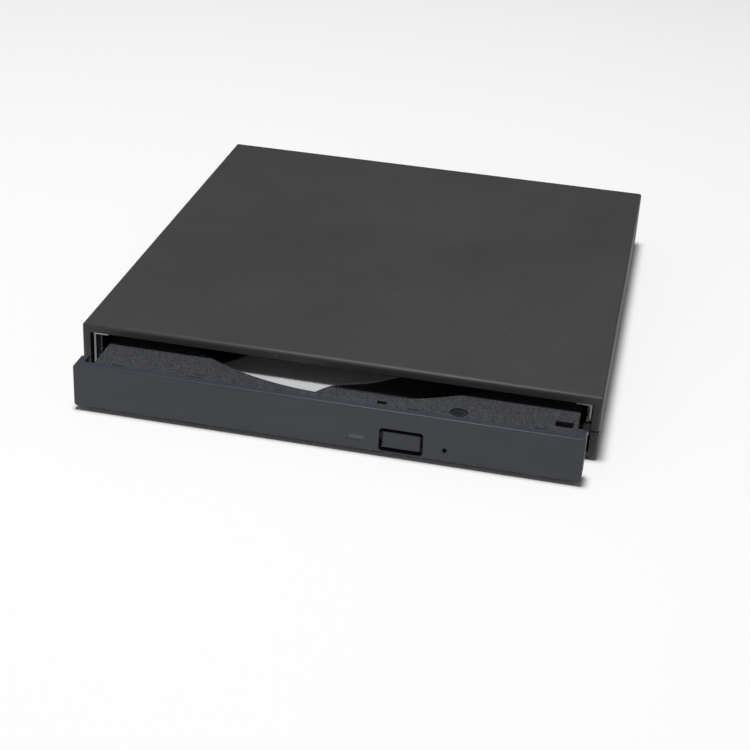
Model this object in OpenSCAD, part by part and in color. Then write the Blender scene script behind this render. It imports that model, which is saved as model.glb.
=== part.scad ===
// External optical drive: a slim tray-loading drive in a two-shell case.
// Millimetres. +X is the user's right, +Y runs back from the user, +Z is up.
// The origin is the centre of the footprint, on the table, with the tray
// standing out as it does just after the eject button was pressed.
// Working frames: y = 0 is the case's front plane and z = 0 is the case's
// underside; "t" is the distance behind the bezel's front face.

/* [Slim drive] */
// Width of the slim drive and its bezel
slim_w = 128; // [124:1:160]
// Depth of the slim drive's steel shell
slim_d = 126; // [124:1:160]
// Height of the slim drive's steel shell
slim_h = 12.7; // [12.4:0.1:16]
// Thickness of the steel shell
sheet = 0.6; // [0.4:0.1:0.8]
// Thickness of the small sheet-metal covers
thin_sheet = 0.4; // [0.3:0.1:0.5]

/* [Case] */
// Thickness of the case's side and rear walls
wall = 2.2; // [2:0.1:3]
// Thickness of the case's floor
floor_t = 1; // [0.8:0.1:2]
// Thickness of the top cover's plate
roof_t = 1.6; // [1.2:0.1:2.4]
// Room between the slim drive and the case's side walls
case_gap = 0.3; // [0.2:0.1:1]
// Room between the slim drive and the top cover's plate
roof_gap = 1.3; // [1:0.1:3]
// Distance of the steel shell behind the case's front plane
shell_inset = 1.5; // [1:0.1:3]
// Room behind the steel shell for the bridge board
rear_room = 10.3; // [9.5:0.1:20]
// Height of the seam between bottom case and top cover
seam_z = 6.8; // [6:0.1:8]
// Gap that shows along the seam
seam_line = 0.3; // [0.1:0.1:0.5]
// Height of the top cover's front lip
lip_h = 2.4; // [2:0.1:3]
// Corner radius of the case seen from above
corner_r = 0.8; // [0.5:0.1:4]
// Radius of the top cover's upper edges
top_edge_r = 1.1; // [0.6:0.1:1.5]
// Radius of the bottom case's lower edges
low_edge_r = 1.5; // [0.6:0.1:2]
// Height of the rubber feet below the case
foot_h = 1.2; // [0.8:0.1:3]
// Diameter of a rubber foot
foot_d = 8; // [6:0.5:12]

/* [Disc and tray] */
// Diameter of the disc
disc_d = 120; // [118:0.5:120]
// Diameter of the disc's centre hole
disc_hole_d = 15; // [14.8:0.1:15.2]
// Room around the disc in its recess
disc_room = 0.6; // [0.4:0.1:1]
// Distance from the bezel's face to the recess at the middle
recess_front = 4.3; // [4:0.1:6]
// Depth of the disc recess below the deck
recess_deep = 3; // [2.4:0.1:3.4]
// Height from the recess floor to the underside of a loaded disc
disc_lift = 1; // [0.8:0.1:1.4]
// Thickness of the recess floor
recess_floor = 1.2; // [1:0.1:1.4]
// Length of the tray behind the bezel's face
tray_len = 122; // [120:0.5:123]
// How far the tray stands out of its closed place
tray_pop = 8; // [5:0.5:12]
// Further travel from there to fully open
tray_open = 114; // [100:1:115]

/* [Bezel] */
// Height of the bezel
bezel_h = 11.8; // [11.4:0.1:12.4]
// Depth of the bezel's side wings
bezel_t = 5; // [4:0.5:6]
// Thickness of the bezel's front plate
bezel_plate = 2; // [1.8:0.1:2.2]
// Gap between the closed bezel and the case
bezel_gap = 0.3; // [0.2:0.1:1]
// Corner radius of the bezel's face
bezel_r = 1.2; // [0.6:0.1:2]
// Radius of the bezel's and the button's front edges
front_edge_r = 0.3; // [0.1:0.05:0.4]
// Width of the eject button
button_w = 9.6; // [8:0.2:11]
// Height of the eject button
button_h = 4.6; // [4.2:0.1:4.8]
// Travel of the eject button
button_travel = 0.6; // [0.4:0.1:0.8]
// Distance of the eject button right of the middle
button_x = 19.8; // [18:0.1:22]
// Distance of the indicator slot right of the middle
lamp_x = 8.6; // [6:0.1:10]
// Distance of the emergency eject hole right of the middle
pinhole_x = 30.6; // [29:0.1:36]

/* [Sled] */
// Angle of the sled's path from the tray's axis
sled_angle = 40; // [36:1:42]
// Distance of the lens from the spindle at rest
lens_rest = 27; // [26:1:30]
// Distance from the bezel's face to the end of the lens's path
lens_front = 21.2; // [21:0.1:24]
// Diameter of the sled's guide rods
rod_d = 2; // [1.6:0.1:2.2]
// Diameter of the lead screw
screw_d = 2; // [1.6:0.1:2.2]

/* [Fits] */
// Radial clearance of a running fit
run_fit = 0.05; // [0.03:0.01:0.1]
// Clearance of a rail in its groove
rail_fit = 0.15; // [0.1:0.05:0.2]
// Radial clearance of a screw in its hole
screw_fit = 0.05; // [0.03:0.01:0.1]
// Clearance around the eject button
button_fit = 0.7; // [0.3:0.1:0.8]
// Clearance of one shell in the other along the seam
seam_fit = 0.1; // [0.05:0.05:0.2]

/* [Hidden] */
$fn = 64;
eps = 0.01;

// Case, worked out from the drive it holds
shell_x = slim_w / 2;
case_in_x = shell_x + case_gap;
case_x = case_in_x + wall;
shell_y0 = shell_inset;
shell_y1 = shell_y0 + slim_d;
case_in_y = shell_y1 + rear_room;
case_d = case_in_y + wall;
shell_z0 = floor_t;
shell_z1 = shell_z0 + slim_h;
roof_z = shell_z1 + roof_gap;
case_h = roof_z + roof_t;
lip_z = case_h - lip_h;
tongue_h = 1;
tongue_t = wall * 0.4;

// Tray at rest, and the frame that the whole object is measured in
tray_y = -(bezel_t + bezel_gap + tray_pop);
place_y = -(case_d + tray_y) / 2;

// Slim drive, from the outside in
flange_x = shell_x - sheet;
shell_in_x = flange_x - sheet;
shell_floor_z = shell_z0 + sheet;
guide_t = 2.1;
guide_x = shell_in_x - guide_t;
groove_deep = 1.5;
low_wall_x = guide_x - 0.4;
deck_x = shell_in_x - 1.4;
deck_left_x = -(shell_in_x - 3.6);
rail_z = shell_floor_z + 4;
rail_h = 1.2;
guide_h = 3;
side_wall_t = 1.6;
rail_x0 = low_wall_x - groove_deep + rail_fit;
rail_x1 = guide_x + groove_deep - rail_fit;
guide_y0 = shell_y0 + 1;
guide_len = slim_d - 10;
rail_len = guide_len - 2;

// Tray heights
under_z = shell_floor_z + 0.5;
under_top = under_z + thin_sheet;
deck_z = bezel_h - 0.2;
recess_z = deck_z - recess_deep;
belly_z = recess_z - recess_floor;
seat_z = recess_z + disc_lift;
recess_r = disc_d / 2 + disc_room;
spindle_t = recess_front + recess_r;
plate_z = recess_z + thin_sheet;

// Traverse: local frame at the spindle, with -Y pointing along the sled's path
bay_x0 = -20;
bay_x1 = 15;
reach = (spindle_t - lens_front) / cos(sled_angle);
bay_y0 = -(reach + 9);
bay_y1 = 24;
bay_wall = 1.2;
bay_right = (bay_x1 + bay_wall) * cos(sled_angle) + (bay_y1 + bay_wall) * sin(sled_angle);
frame_z = belly_z - 1.5;
frame_t = 0.8;
frame_room = 1.4;
rod_z = frame_z - rod_d / 2;
rod_x = [-13.2, 11.5];
rod_y0 = bay_y0 + 1.6;
rod_y1 = -11;
screw_x = -16.8;
screw_y0 = -(reach + 1);
screw_y1 = -7.5;
damper_at = [[-16.4, 19.5], [11, 19.5], [-16.4, bay_y0 + 4.8]];
damper_r = 2;
damper_neck = 1.45;
damper_screw_r = 0.8;
window_x = 10.4;
motor_r = 10;
hub_r = disc_hole_d / 2 - 0.15;
table_r = 13.4;
spindle_r = 0.95;
hub_h = 1.5;
claw_w = 2.2;
sled_top_x = 9.4;
sled_top_z = recess_z - 0.6;
pocket_x = 6.2;
lens_r = 2;

// Front fittings on the tray
button_z = 3.4;
button_hole_h = button_h + 2 * button_fit + 0.4;
button_hole_z = button_z - button_h / 2 - button_fit;
button_sunk = 0.6;
lamp_z = 3.2;
lamp_w = 4;
lamp_h = 1.3;
lamp_fit = 0.05;
pinhole_r = 0.6;
pinhole_z = 3.1;
tray_screw_at = [32.8, 4.6];
snap_x = [-53, -33, 22, 53];
snap_w = 2.6;
board_z = shell_floor_z + 0.4;
board_t = 0.8;
board_x0 = 3;
board_x1 = 29;
board_t0 = 7;
board_t1 = 15;

// Rear fittings
bridge_z = floor_t + 3;
bridge_x0 = -42;
bridge_x1 = 54;
bridge_y0 = shell_y1 + 2;
bridge_y1 = case_in_y - 0.5;
bridge_top = bridge_z + board_t;
plug_x = 42;
plug_w = 30;
usb_x = -14;
dc_x = -32;
dc_r = 2.8;
dc_z = bridge_top + 3.2;
usb_w = 7.7;
usb_h = 3.9;
socket_inset = 0.6;
post_x = [-38, 24];
post_r = 2;
case_screw_x = case_in_x - 3.4;
case_screw_y = case_in_y - 4.4;
boss_r = 2.8;
case_screw_r = 1;
bracket_x = [-60, -46];
bracket_screw_at = [-50, shell_y1 + 5];
stop_x = rail_x1 + 0.4;
foot_x = case_x - 12;
foot_y = [14, case_d - 14];
main_x0 = bay_right + 1.2;
main_x1 = guide_x - 4;
main_y0 = shell_y1 - 80;
main_y1 = shell_y1 - 4;
main_z = shell_floor_z + 0.4;
latch_at = [44, 8];
latch_z = under_z + 0.6;
latch_t = 0.8;
latch_swing = 10;
latch_hook = 10.2;
post_back = 0.2;
latch_post_r = 0.8;
flex_x0 = 31;
flex_x1 = 41;
flex_t = 0.1;
flex_low = shell_floor_z + 0.05;
flex_high = belly_z - 0.05 - flex_t;
flex_end = 77;
flex_bend = flex_end + tray_y - tray_open / 2 - 2;
pin_x = -(low_wall_x - 6);
pin_z = rail_z;
pin_r = 0.6;
pin_y0 = tray_y + tray_len - 0.4;
spring_r = 1.4;
wire_r = 0.25;
spring_turns = 9;

// Shared shapes

module place() {
    translate([0, place_y, foot_h]) children();
}

module on_tray() {
    place() translate([0, tray_y, 0]) children();
}

module on_traverse() {
    on_tray() translate([0, spindle_t, 0]) rotate([0, 0, -sled_angle]) children();
}

module box(x0, x1, y0, y1, z0, z1) {
    translate([x0, y0, z0]) cube([x1 - x0, y1 - y0, z1 - z0]);
}

module disc(r, z0, z1, x = 0, y = 0) {
    translate([x, y, z0]) cylinder(r = r, h = z1 - z0);
}

// A rod along Y from y0 to y1
module rod(r, x, z, y0, y1) {
    translate([x, y1, z]) rotate([90, 0, 0]) cylinder(r = r, h = y1 - y0);
}

// A rectangle with round corners, drawn from its lower left corner
module soft_rect(w, h, r) {
    translate([r, 0]) square([w - 2 * r, h]);
    translate([0, r]) square([w, h - 2 * r]);
    for (x = [r, w - r], y = [r, h - r]) {
        translate([x, y]) circle(r);
    }
}

// A slab whose plan is a soft rectangle
module soft_slab(x0, x1, y0, y1, z0, z1, r) {
    translate([x0, y0, z0]) linear_extrude(z1 - z0) soft_rect(x1 - x0, y1 - y0, r);
}

// A plate standing in the XZ plane, with soft corners
module soft_front(x0, x1, y0, y1, z0, z1, r) {
    translate([x0, y1, z0]) rotate([90, 0, 0]) linear_extrude(y1 - y0) {
        soft_rect(x1 - x0, z1 - z0, r);
    }
}

// A plate standing in the XZ plane, with soft corners and eased front edges
module eased_front(x0, x1, y0, y1, z0, z1, r, ease) {
    intersection() {
        soft_front(x0, x1, y0, y1, z0, z1, r);
        soft_slab(x0, x1, y0, y1 + 2 * ease, z0, z1, ease);
        translate([x0, y0, z0]) rotate([90, 0, 90]) linear_extrude(x1 - x0) {
            soft_rect(y1 - y0 + 2 * ease, z1 - z0, ease);
        }
    }
}

// The same for both sides of the middle
module both_sides() {
    children();
    mirror([1, 0, 0]) children();
}

// Cross slot of a small screw's head, cut downwards from z
module cross_slot(x, y, z, size) {
    translate([x - size / 2, y - 0.15, z - 0.3]) cube([size, 0.3, 1]);
    translate([x - 0.15, y - size / 2, z - 0.3]) cube([0.3, size, 1]);
}

// A pan-head screw with its head up: seat is the underside of the head
module screw_up(x, y, seat, shank, r, head_r, head_h) {
    difference() {
        union() {
            disc(head_r, seat, seat + head_h, x, y);
            disc(r, seat - shank, seat + eps, x, y);
        }
        cross_slot(x, y, seat + head_h, head_r * 1.2);
    }
}

// The same screw with its head down
module screw_down(x, y, seat, shank, r, head_r, head_h) {
    translate([0, 0, seat]) mirror([0, 0, 1]) screw_up(x, y, 0, shank, r, head_r, head_h);
}

// Corner cutting: each pass replaces every inner corner by two points
function cut_once(p) = [
    for (i = [0:len(p) - 1], k = [0.25, 0.75])
        let (j = (i + 1) % len(p)) p[i] * (1 - k) + p[j] * k
];
function cut_corners(p, passes) = passes == 0 ? p : cut_corners(cut_once(p), passes - 1);

// Case shells

// The case's outside, rounded in plan, along its upper and its lower edges
module case_outside() {
    intersection() {
        soft_slab(-case_x, case_x, 0, case_d, 0, case_h, corner_r);
        translate([0, case_d, 0]) rotate([90, 0, 0]) linear_extrude(case_d) front_outline();
        rotate([90, 0, 90]) translate([0, 0, -case_x]) linear_extrude(2 * case_x) side_outline();
    }
}

module front_outline() {
    translate([-case_x, case_h / 3]) square([2 * case_x, case_h / 3]);
    translate([-case_x, 0]) soft_rect(2 * case_x, case_h * 0.7, low_edge_r);
    translate([-case_x, case_h * 0.3]) soft_rect(2 * case_x, case_h * 0.7, top_edge_r);
}

module side_outline() {
    square([case_d - low_edge_r, case_h * 0.7]);
    soft_rect(case_d, case_h * 0.7, low_edge_r);
    translate([0, case_h * 0.3]) soft_rect(case_d, case_h * 0.7, top_edge_r);
    translate([0, low_edge_r]) square([case_d, case_h / 2]);
}

// Everything that the rear wall leaves open for the sockets
module rear_cuts() {
    box(usb_x - usb_w / 2 - 0.4, usb_x + usb_w / 2 + 0.4, case_in_y - eps, case_d + 1,
        bridge_top - 0.4, bridge_top + usb_h + 0.4);
    rod(dc_r + 0.3, dc_x, dc_z, case_in_y - eps, case_d + 1);
}

module top_cover() {
    color("#3b3b3f") place() difference() {
        union() {
            difference() {
                case_outside();
                box(-case_x - 1, case_x + 1, -1, case_d + 1, -1, seam_z + seam_line);
                box(-case_in_x, case_in_x, -1, case_in_y, seam_z - 1, roof_z);
                // rebate that takes the bottom case's tongue
                box(-case_in_x - tongue_t - seam_fit, case_in_x + tongue_t + seam_fit,
                    corner_r, case_in_y + tongue_t + seam_fit,
                    seam_z - 1, seam_z + tongue_h + seam_fit);
            }
            // front lip
            intersection() {
                case_outside();
                box(-case_in_x - eps, case_in_x + eps, 0, wall, lip_z, roof_z + eps);
            }
            // ribs that rest on the drive's lid
            for (x = [-0.3, 0, 0.3]) {
                box(x * slim_w - 0.6, x * slim_w + 0.6, wall + 2, shell_y1 - 4,
                    shell_z1 + 0.2, roof_z + eps);
            }
            both_sides() disc(boss_r, seam_z, roof_z + eps, case_screw_x, case_screw_y);
        }
        rear_cuts();
        both_sides() {
            disc(case_screw_r + screw_fit, seam_z - 1, roof_z - 1, case_screw_x, case_screw_y);
        }
    }
}

module bottom_case() {
    color("#333337") place() difference() {
        union() {
            difference() {
                case_outside();
                box(-case_x - 1, case_x + 1, -1, case_d + 1, seam_z, case_h + 1);
                box(-case_in_x, case_in_x, -1, case_in_y, floor_t, case_h);
            }
            difference() {
                box(-case_in_x - tongue_t, case_in_x + tongue_t, corner_r + 0.3,
                    case_in_y + tongue_t, seam_z - eps, seam_z + tongue_h);
                box(-case_in_x, case_in_x, 0, case_in_y, seam_z - 1, seam_z + tongue_h + 1);
            }
            both_sides() disc(boss_r, floor_t - eps, seam_z, case_screw_x, case_screw_y);
            // stop tab that keeps the drive from sliding out at the front
            box(stop_x, case_in_x + eps, 0.2, shell_y0 - 0.1, rail_z + rail_h / 2 + 0.3, seam_z);
            box(stop_x, case_in_x - seam_fit, 0.2, shell_y0 - 0.1, seam_z - eps, seam_z + 1.9);
            for (x = post_x) {
                disc(post_r, floor_t - eps, bridge_z, x, (bridge_y0 + bridge_y1) / 2);
            }
            disc(post_r, floor_t - eps, bridge_z, bracket_screw_at[0], bracket_screw_at[1]);
        }
        rear_cuts();
        both_sides() {
            disc(case_screw_r + screw_fit, -1, seam_z + 1, case_screw_x, case_screw_y);
            disc(2 + screw_fit, -1, 1.5, case_screw_x, case_screw_y);
        }
        for (x = post_x) {
            disc(0.8 + screw_fit, floor_t + 0.2, bridge_z + 1, x, (bridge_y0 + bridge_y1) / 2);
        }
        disc(0.8 + screw_fit, floor_t + 0.2, bridge_z + 1, bracket_screw_at[0], bracket_screw_at[1]);
    }
}

module rubber_feet() {
    color("#1c1c1e") place() for (x = [-foot_x, foot_x], y = foot_y) {
        disc(foot_d / 2, -foot_h + 0.3, 0, x, y);
        disc(foot_d / 2 - 0.5, -foot_h, 0, x, y);
    }
}

module case_screws() {
    color("#8c8f94") place() both_sides() {
        screw_down(case_screw_x, case_screw_y, 1.5, 10, case_screw_r, 1.9, 1.2);
    }
}

// Slim drive's steel shell and what is fixed in it

module chassis_bottom() {
    color("silver") place() difference() {
        union() {
            difference() {
                box(-flange_x, flange_x, shell_y0, shell_y1 - sheet, shell_z0, shell_z1 - sheet);
                box(-shell_in_x, shell_in_x, shell_y0 - 1, shell_y1 - 2 * sheet,
                    shell_floor_z, case_h);
            }
            // tabs under the lid that its screws turn into
            for (x = lid_screw_x()) {
                box(x - 3, x + 3, shell_y1 - 6, shell_y1 - 2 * sheet + eps,
                    shell_z1 - 2 * sheet, shell_z1 - sheet);
            }
        }
        for (x = lid_screw_x()) {
            disc(0.7 + screw_fit, shell_z1 - 3, shell_z1, x, shell_y1 - 3);
        }
        // sides set back from the lid's front edge
        box(-shell_x, shell_x, shell_y0 - 1, shell_y0 + 3, shell_floor_z, case_h);
        // notch for the connector, and the hole of the eject spring's pin
        box(plug_x - plug_w / 2 - 0.4, plug_x + plug_w / 2 + 0.4, shell_y1 - 5, shell_y1 + 1,
            main_z - 0.3, shell_z1);
        rod(pin_r + screw_fit, pin_x, pin_z, shell_y1 - 4, shell_y1 + 1);
        // weight-saving windows in the floor, away from the board
        for (y = [26, 64]) {
            soft_slab(-42, 14, y, y + 26, 0, shell_floor_z + 1, 3);
        }
        disc(latch_post_r + screw_fit, 0, shell_floor_z + 1, latch_post_x(), latch_post_y());
    }
}

// The lid folds down over the shell's sides, and its front edge is cut back between two corners
module chassis_top() {
    color("silver") place() difference() {
        box(-shell_x, shell_x, shell_y0, shell_y1, shell_z0 + 4, shell_z1);
        box(-flange_x, flange_x, shell_y0 - 1, shell_y1 - sheet, shell_z0, shell_z1 - sheet);
        soft_slab(-shell_x + 4, shell_x - 4, shell_y0 - 4, shell_y0 + 5, shell_z0, case_h, 3);
        box(plug_x - plug_w / 2 - 0.4, plug_x + plug_w / 2 + 0.4, shell_y1 - sheet - 1,
            shell_y1 + 1, shell_z0, shell_z1 - 1.5);
        rod(pin_r + 0.6, pin_x, pin_z, shell_y1 - sheet - 1, shell_y1 + 1);
        for (x = lid_screw_x()) {
            disc(0.7 + screw_fit, shell_z1 - 2, shell_z1 + 1, x, shell_y1 - 3);
        }
    }
}

function lid_screw_x() = [-shell_x + 12, 6];

module chassis_screws() {
    color("#9a9ca0") place() {
        for (x = lid_screw_x()) {
            screw_up(x, shell_y1 - 3, shell_z1, 1.4, 0.7, 1.3, 0.5);
        }
        for (p = main_hole_at()) {
            screw_up(p[0], p[1], main_z + board_t, 1.15, 0.7, 1.3, 0.5);
        }
    }
}

module rail_guide() {
    difference() {
        box(guide_x, shell_in_x, guide_y0, guide_y0 + guide_len,
            rail_z - guide_h / 2, rail_z + guide_h / 2);
        box(guide_x - 1, guide_x + groove_deep, guide_y0 - 1, guide_y0 + guide_len + 1,
            rail_z - rail_h / 2 - rail_fit, rail_z + rail_h / 2 + rail_fit);
    }
}

module right_rail_guide() {
    color("#222224") place() rail_guide();
}

module left_rail_guide() {
    color("#222224") place() mirror([1, 0, 0]) rail_guide();
}

// A steel strip, half in the fixed guide's groove and half in the tray's
module rail() {
    rail_y = guide_y0 + 1.5 - tray_pop / 2;
    difference() {
        box(rail_x0, rail_x1, rail_y, rail_y + rail_len, rail_z - rail_h / 2, rail_z + rail_h / 2);
        for (y = [rail_y + 8, rail_y + rail_len - 8]) {
            disc(0.5, rail_z - 2, rail_z + 2, (rail_x0 + rail_x1) / 2, y);
        }
    }
}

module right_rail() {
    color("silver") place() rail();
}

module left_rail() {
    color("silver") place() mirror([1, 0, 0]) rail();
}

function main_hole_at() = [
    for (x = [main_x0 + 2.2, main_x1 - 2.2], y = [main_y0 + 9, main_y1 - 8]) [x, y]
];

module main_board() {
    color("darkgreen") place() difference() {
        union() {
            box(main_x0, main_x1, main_y0, main_y1, main_z, main_z + board_t);
            for (p = main_hole_at()) {
                disc(1.5, shell_floor_z, main_z + eps, p[0], p[1]);
            }
        }
        for (p = main_hole_at()) {
            disc(0.7 + screw_fit, shell_floor_z - 1, main_z + 2, p[0], p[1]);
        }
    }
}

module main_board_chips() {
    z = main_z + board_t;
    x = (main_x0 + main_x1) / 2;
    color("#18181a") place() {
        soft_slab(x - 8, x + 6, main_y0 + 38, main_y0 + 52, z, z + 1, 0.4);
        soft_slab(x - 10, x - 2, main_y0 + 22, main_y0 + 34, z, z + 0.9, 0.3);
        soft_slab(x + 2, x + 9, main_y0 + 20, main_y0 + 29, z, z + 0.9, 0.3);
        soft_slab(flex_x0 - 0.6, flex_x1 + 0.6, main_y0 + 3, main_y0 + 6, z, z + 1.4, 0.3);
        for (k = [0:4]) {
            box(x - 11 + 4 * k, x - 9.4 + 4 * k, main_y0 + 12, main_y0 + 13, z, z + 0.6);
        }
    }
}

module drive_connector() {
    z = main_z + board_t;
    color("#202022") place() difference() {
        box(plug_x - plug_w / 2, plug_x + plug_w / 2, main_y1 - 4, shell_y1 + 0.3, z, z + 4);
        box(plug_x - plug_w / 2 + 1, plug_x + plug_w / 2 - 1, shell_y1 - 3, shell_y1 + 2,
            z + 1, z + 3);
    }
}

module bridge_connector() {
    z = main_z + board_t;
    color("#e8e6dc") place() {
        box(plug_x - plug_w / 2, plug_x + plug_w / 2, shell_y1 + 0.6, bridge_y0 + 2, bridge_top, z + 4);
        box(plug_x - plug_w / 2 + 1.3, plug_x + plug_w / 2 - 1.3, shell_y1 - 2.5, shell_y1 + 0.7,
            z + 1.3, z + 2.7);
    }
}

module bridge_board() {
    color("darkgreen") place() difference() {
        box(bridge_x0, bridge_x1, bridge_y0, bridge_y1, bridge_z, bridge_top);
        for (x = post_x) {
            disc(0.8 + screw_fit, bridge_z - 1, bridge_top + 1, x, (bridge_y0 + bridge_y1) / 2);
        }
    }
}

module bridge_chips() {
    y = (bridge_y0 + bridge_y1) / 2;
    color("#18181a") place() {
        soft_slab(1, 8, y - 3.5, y + 3.5, bridge_top, bridge_top + 1, 0.3);
        soft_slab(12, 20, y - 1.6, y + 1.6, bridge_top, bridge_top + 2.4, 1.5);
        for (k = [0:2]) {
            box(-4 + 1.8 * k, -2.9 + 1.8 * k, y - 3.4, y - 2.2, bridge_top, bridge_top + 0.7);
        }
        disc(2, bridge_top, bridge_top + 4.5, 48, y + 1.4);
    }
}

module board_screws() {
    color("#9a9ca0") place() for (x = post_x) {
        screw_up(x, (bridge_y0 + bridge_y1) / 2, bridge_top, 3.2, 0.8, 1.6, 0.9);
    }
}

module usb_socket() {
    y1 = case_d - socket_inset;
    color("silver") place() {
        difference() {
            soft_front(usb_x - usb_w / 2, usb_x + usb_w / 2, y1 - 9, y1,
                bridge_top, bridge_top + usb_h, 0.6);
            soft_front(usb_x - usb_w / 2 + 0.3, usb_x + usb_w / 2 - 0.3, y1 - 8, y1 + 1,
                bridge_top + 0.3, bridge_top + usb_h - 0.3, 0.4);
        }
        box(usb_x - 2, usb_x + 2, y1 - 8.2, y1 - 1, bridge_top + usb_h / 2 - 0.4,
            bridge_top + usb_h / 2 + 0.4);
    }
}

module dc_socket() {
    y1 = case_d - socket_inset;
    color("#1a1a1c") place() {
        difference() {
            union() {
                box(dc_x - 3.2, dc_x + 3.2, y1 - 9, case_in_y - 0.3, bridge_top, dc_z + 3.2);
                rod(dc_r, dc_x, dc_z, case_in_y - 1, y1);
            }
            rod(1.9, dc_x, dc_z, y1 - 8, y1 + 1);
        }
        rod(0.65, dc_x, dc_z, y1 - 8.2, y1 - 1.2);
    }
}

module rear_bracket() {
    color("silver") place() difference() {
        union() {
            box(bracket_x[0], bracket_x[1], shell_y1, shell_y1 + thin_sheet * 2,
                bridge_z, shell_z1 - 1);
            box(bracket_x[0], bracket_x[1], shell_y1, bracket_screw_at[1] + 2.4,
                bridge_z, bridge_z + thin_sheet * 2);
        }
        disc(0.8 + screw_fit, bridge_z - 1, bridge_z + 2, bracket_screw_at[0], bracket_screw_at[1]);
        // clear of the case screw's boss, and of the eject spring's pin
        disc(boss_r + 0.4, bridge_z - 1, case_h, -case_screw_x, case_screw_y);
        rod(pin_r + 0.6, pin_x, pin_z, shell_y1 - 1, shell_y1 + 2);
    }
}

module bracket_screw() {
    color("#9a9ca0") place() {
        screw_up(bracket_screw_at[0], bracket_screw_at[1], bridge_z + thin_sheet * 2,
            3.4, 0.8, 1.6, 0.9);
    }
}

// The post that the latch lever hooks when the tray is closed
function latch_post_x() = latch_at[0] - 1 - latch_post_r;
function latch_post_y() = latch_at[1] + latch_hook - post_back - latch_post_r - bezel_t - bezel_gap;

module latch_post() {
    color("silver") place() {
        disc(latch_post_r, shell_z0 + 0.1, latch_z + latch_t + 0.3, latch_post_x(), latch_post_y());
    }
}

module eject_guide_pin() {
    color("silver") place() {
        rod(pin_r, pin_x, pin_z, pin_y0, shell_y1 - 0.1);
        rod(pin_r + 0.5, pin_x, pin_z, shell_y1 - 2 * sheet - 0.5, shell_y1 - 2 * sheet);
    }
}

module eject_spring() {
    spring_y0 = tray_y + tray_len;
    spring_y1 = shell_y1 - 2 * sheet - 0.6;
    pitch = (spring_y1 - spring_y0 - 2 * wire_r) / spring_turns;
    color("#c9cbd0") place() for (k = [0:spring_turns]) {
        translate([pin_x, spring_y0 + wire_r + k * pitch, pin_z]) rotate([90, 0, 0]) {
            rotate_extrude($fn = 32) translate([spring_r - wire_r, 0]) circle(wire_r, $fn = 16);
        }
    }
}

// Flat cable: from the main board forward along the shell's floor, once round,
// and back along the tray's underside; the bend rolls as the tray slides
module flex_cable() {
    r = (flex_high + flex_t - flex_low) / 2;
    lift = main_z + board_t + 0.6;
    color("#d8a04a") place() translate([flex_x0, 0, 0]) rotate([90, 0, 90]) {
        linear_extrude(flex_x1 - flex_x0) {
            translate([flex_bend, flex_low]) square([main_y0 - 4 - flex_bend, flex_t]);
            polygon([[main_y0 - 4 - eps, flex_low], [main_y0 - 0.5, lift],
                [main_y0 + 3, lift], [main_y0 + 3, lift + flex_t],
                [main_y0 - 0.5 - eps, lift + flex_t], [main_y0 - 4 - eps, flex_low + flex_t]]);
            translate([flex_bend, flex_high]) square([flex_end + tray_y - flex_bend, flex_t]);
            translate([flex_bend, flex_low + r]) difference() {
                circle(r);
                circle(r - flex_t);
                translate([0, -r - 1]) square([r + 1, 2 * r + 2]);
            }
        }
    }
}

// Tray and what is fixed to it

// The side wall below the deck, and the groove in it that the moving rail runs in
module tray_side() {
    box(low_wall_x - groove_deep - side_wall_t, low_wall_x, bezel_t + 1, tray_len,
        rail_z - guide_h / 2 + 0.2, belly_z + eps);
}

module tray_groove() {
    box(low_wall_x - groove_deep, shell_x, bezel_t - 1, tray_len + 1,
        rail_z - rail_h / 2 - rail_fit, rail_z + rail_h / 2 + rail_fit);
}

// The bay's outline in the traverse's frame, grown by a margin
module bay(margin) {
    translate([bay_x0 - margin, bay_y0 - margin]) {
        square([bay_x1 - bay_x0 + 2 * margin, bay_y1 - bay_y0 + 2 * margin]);
    }
}

module in_traverse_plan() {
    translate([0, spindle_t]) rotate(-sled_angle) children();
}

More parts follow.
